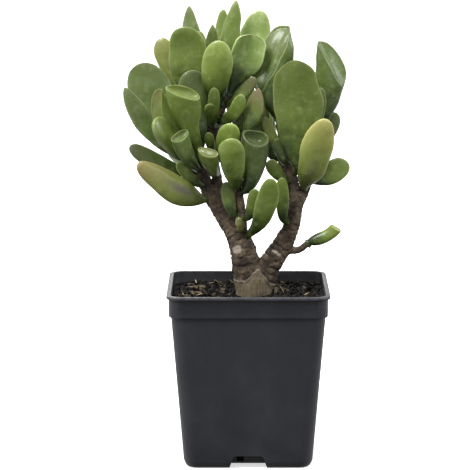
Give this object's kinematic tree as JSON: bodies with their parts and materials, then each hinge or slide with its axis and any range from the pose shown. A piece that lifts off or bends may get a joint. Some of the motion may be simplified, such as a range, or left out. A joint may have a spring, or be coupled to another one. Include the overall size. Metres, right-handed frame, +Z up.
{
  "type": "potted jade plant",
  "caption": "Potted jade plant: plump upright spoon-shaped leaves on a forked woody stem, rooted in a square black plastic nursery pot.",
  "frame": {"origin": "on the underside of the pot, at the middle of its floor", "axes": "+Z up along the plant, -Y to the front with the fork of the stem seen open, +X to the right"},
  "size_m": [0.13, 0.1066, 0.261],
  "materials": {
    "pot_plastic": "satin",
    "soil_mix": "matte",
    "stem_bark": "matte",
    "leaf_green": "satin",
    "leaf_grey_green": "satin",
    "leaf_yellow_green": "satin"
  },
  "bodies": {
    "root": {"pot": "pot_plastic", "soil": "soil_mix", "stem": "stem_bark", "leaf_left_01": "leaf_grey_green", "leaf_left_02": "leaf_grey_green", "leaf_left_03": "leaf_green", "leaf_left_04": "leaf_green", "leaf_left_05": "leaf_green", "leaf_left_06": "leaf_grey_green", "leaf_left_07": "leaf_yellow_green", "leaf_left_08": "leaf_grey_green", "leaf_left_09": "leaf_yellow_green", "leaf_left_10": "leaf_green", "leaf_left_11": "leaf_grey_green", "leaf_left_12": "leaf_green", "leaf_crown_01": "leaf_green", "leaf_crown_02": "leaf_grey_green", "leaf_crown_03": "leaf_green", "leaf_crown_04": "leaf_grey_green", "leaf_crown_05": "leaf_green", "leaf_crown_06": "leaf_green", "leaf_crown_07": "leaf_green", "leaf_crown_08": "leaf_green", "leaf_crown_09": "leaf_green", "leaf_crown_10": "leaf_yellow_green", "leaf_crown_11": "leaf_green", "leaf_crown_12": "leaf_green", "leaf_crown_13": "leaf_green", "leaf_middle_01": "leaf_yellow_green", "leaf_middle_02": "leaf_green", "leaf_middle_03": "leaf_green", "leaf_middle_04": "leaf_green", "leaf_middle_05": "leaf_green", "leaf_middle_06": "leaf_grey_green", "leaf_middle_07": "leaf_green", "leaf_middle_08": "leaf_green", "leaf_middle_09": "leaf_green", "leaf_right_01": "leaf_grey_green", "leaf_right_02": "leaf_green", "leaf_right_03": "leaf_grey_green", "leaf_right_04": "leaf_grey_green", "leaf_right_05": "leaf_yellow_green", "leaf_right_06": "leaf_green", "leaf_right_07": "leaf_grey_green", "leaf_right_08": "leaf_green", "leaf_right_09": "leaf_green", "leaf_right_10": "leaf_yellow_green", "leaf_right_11": "leaf_grey_green", "leaf_side_01": "leaf_yellow_green", "leaf_back_01": "leaf_green", "leaf_back_02": "leaf_green", "leaf_back_03": "leaf_green", "leaf_back_04": "leaf_green", "leaf_back_05": "leaf_green", "leaf_back_06": "leaf_green", "leaf_back_07": "leaf_green", "leaf_back_08": "leaf_green", "leaf_back_09": "leaf_green", "leaf_back_10": "leaf_green", "leaf_back_11": "leaf_green"}
  },
  "joints": []
}
